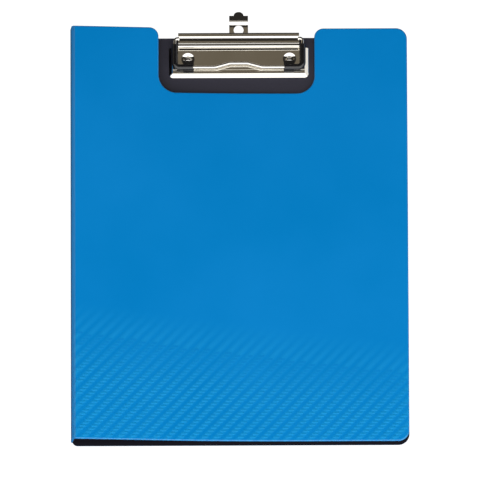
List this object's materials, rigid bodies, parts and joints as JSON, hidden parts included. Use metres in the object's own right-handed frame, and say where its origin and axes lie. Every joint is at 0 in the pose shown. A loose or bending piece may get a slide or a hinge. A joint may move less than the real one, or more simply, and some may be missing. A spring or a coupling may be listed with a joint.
{
  "type": "clipboard folder",
  "caption": "A4 clipboard folder with a folding plastic cover, a low wire clip worked by a lever, and a sliding hanging loop.",
  "frame": {"origin": "middle of the back board's rear face, the face that it lies on", "axes": "+X across the board from the spine to the open side, +Y along the board towards the clip, +Z out of the board's front"},
  "size_m": [0.2501, 0.3343, 0.0144],
  "materials": {
    "blue_plastic": "satin",
    "black_plastic": "fine grain",
    "nickel_plate": "bright nickel plate",
    "nickel_wire": "bright nickel plate",
    "black_sleeve": "soft gloss"
  },
  "bodies": {
    "board": {"back_panel": "blue_plastic", "back_lining": "black_plastic", "clip_base_plate": "nickel_plate", "hinge_pin": "nickel_wire", "clip_rivets": "nickel_wire", "rivet_washers": "nickel_plate"},
    "spine": {"spine_panel": "blue_plastic", "spine_lining": "black_plastic"},
    "cover": {"cover_panel": "blue_plastic", "cover_lining": "black_plastic"},
    "lever": {"clip_lever": "nickel_plate"},
    "bail": {"wire_bail": "nickel_wire", "left_corner_sleeve": "black_sleeve", "right_corner_sleeve": "black_sleeve"},
    "hanger": {"hanging_loop": "nickel_plate"}
  },
  "joints": [
    {"name": "spine_fold", "type": "hinge", "parent": "board", "child": "spine", "pos_m": [-0.1242, 0, 0.001], "axis": [0, -1, 0], "range_deg": [0, 180]},
    {"name": "cover_fold", "type": "hinge", "parent": "spine", "child": "cover", "pos_m": [-0.1229, 0, 0.0135], "axis": [0, -1, 0], "range_deg": [0, 180]},
    {"name": "lever_hinge", "type": "hinge", "parent": "board", "child": "lever", "pos_m": [0, 0.15595, 0.0065], "axis": [-1, 0, 0], "range_deg": [0, 90]},
    {"name": "bail_hinge", "type": "hinge", "parent": "lever", "child": "bail", "pos_m": [0, 0.15469, 0.0083], "axis": [-1, 0, 0], "range_deg": [-66.8, 0]},
    {"name": "hanger_slide", "type": "slide", "parent": "board", "child": "hanger", "axis": [0, 1, 0], "range_m": [-0.006, 0]}
  ],
  "couplings": [
    {"joint": "bail_hinge", "follows": "lever_hinge", "ratio": -0.737}
  ]
}
